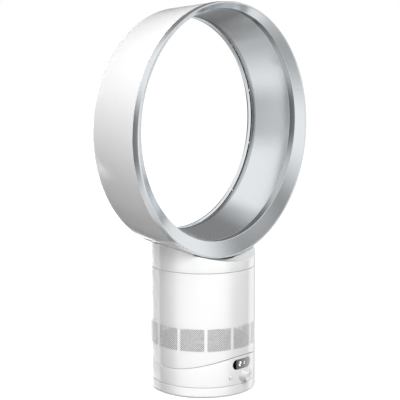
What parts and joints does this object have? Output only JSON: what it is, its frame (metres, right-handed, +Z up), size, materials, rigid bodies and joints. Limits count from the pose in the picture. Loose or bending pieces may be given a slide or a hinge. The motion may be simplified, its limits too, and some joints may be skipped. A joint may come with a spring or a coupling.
{
  "type": "bladeless desk fan",
  "caption": "Desk fan with a hollow air loop on a round perforated body, tilting and turning on a low base with a knob, buttons and a display.",
  "frame": {"origin": "on the resting surface, under the axis of the round base", "axes": "+Z up; the front with the knob, the display and the silver rim faces -Y; +X is the fan's left side"},
  "size_m": [0.356, 0.16, 0.548],
  "materials": {
    "white_gloss": "smooth gloss white moulding",
    "silver_paint": "metallic silver paint",
    "grey_grille": "gloss white moulding, perforated",
    "black_window": "dark smoked gloss",
    "inner_plastic": "plain moulding",
    "gear_plastic": "plain acetal",
    "board": "green board",
    "dark_plastic": "dark moulding",
    "rubber": "matt",
    "foam": "open foam",
    "steel": "plated",
    "iron": "plain",
    "copper": "enamelled wire",
    "digits": "lit digits"
  },
  "bodies": {
    "foot": {"foot_shell": "white_gloss", "ballast_plate": "iron", "rubber_ring": "rubber", "pivot_post": "steel", "post_screws": "steel", "fixed_gear": "gear_plastic", "bearing_ring": "gear_plastic", "retainer_washer": "steel", "retainer_screws": "steel", "power_inlet": "dark_plastic", "inlet_pin": "steel"},
    "base": {"base_shell": "white_gloss", "tilt_cradle": "inner_plastic", "wear_strips": "dark_plastic", "turntable": "inner_plastic", "base_screws": "steel", "display_window": "black_window", "display_board": "board", "display_digits": "digits", "control_board": "board", "switch_housings": "dark_plastic", "knob_encoder": "steel", "oscillation_motor": "steel", "motor_screws": "steel"},
    "pinion": {"oscillation_pinion": "gear_plastic"},
    "knob": {"speed_knob": "white_gloss"},
    "power_key": {"power_button": "white_gloss"},
    "oscillation_key": {"oscillation_button": "white_gloss"},
    "body": {"body_shell": "white_gloss", "inlet_grille": "grey_grille", "body_floor": "inner_plastic", "tilt_rails": "dark_plastic", "rail_screws": "steel", "inlet_foam": "foam", "impeller_housing": "inner_plastic", "housing_seal": "rubber", "outlet_foam": "foam", "diffuser_vanes": "inner_plastic", "bucket_lower": "inner_plastic", "bucket_upper": "inner_plastic", "motor_stator": "steel", "motor_coils": "copper", "lower_bearing": "steel", "upper_bearing": "steel", "lock_ring": "inner_plastic", "neck_seal": "rubber"},
    "rotor": {"impeller": "inner_plastic", "motor_shaft": "steel", "motor_rotor": "steel"},
    "loop": {"loop_outer_shell": "white_gloss", "loop_neck": "white_gloss", "loop_bezel": "silver_paint", "loop_duct": "silver_paint", "slot_spacers": "silver_paint", "neck_collar": "inner_plastic"}
  },
  "joints": [
    {"name": "oscillate", "type": "hinge", "parent": "foot", "child": "base", "pos_m": [0, 0, 0.015], "axis": [0, 0, 1], "range_deg": [-45, 45]},
    {"name": "pinion_turn", "type": "hinge", "parent": "base", "child": "pinion", "pos_m": [0, 0.02892, 0.0103], "axis": [0, 0, 1], "range_deg": [-225, 225]},
    {"name": "tilt", "type": "hinge", "parent": "base", "child": "body", "pos_m": [0, 0, 0.2171], "axis": [1, 0, 0], "range_deg": [-10, 10]},
    {"name": "impeller_spin", "type": "hinge", "parent": "body", "child": "rotor", "pos_m": [0, 0, 0.14], "axis": [0, 0, 1], "continuous": true},
    {"name": "loop_lock", "type": "hinge", "parent": "body", "child": "loop", "pos_m": [0, 0, 0.177], "axis": [0, 0, 1], "range_deg": [0, 20]},
    {"name": "knob_turn", "type": "hinge", "parent": "base", "child": "knob", "pos_m": [0, -0.075, 0.026], "axis": [0, 1, 0], "range_deg": [-140, 140]},
    {"name": "power_press", "type": "slide", "parent": "base", "child": "power_key", "axis": [0, 1, 0], "range_m": [0, 0.0008], "stiffness_N_per_m": 1500, "springref_m": -0.0004},
    {"name": "oscillation_press", "type": "slide", "parent": "base", "child": "oscillation_key", "axis": [0, 1, 0], "range_m": [0, 0.0008], "stiffness_N_per_m": 1500, "springref_m": -0.0004}
  ],
  "couplings": [
    {"joint": "pinion_turn", "follows": "oscillate", "ratio": 5}
  ]
}
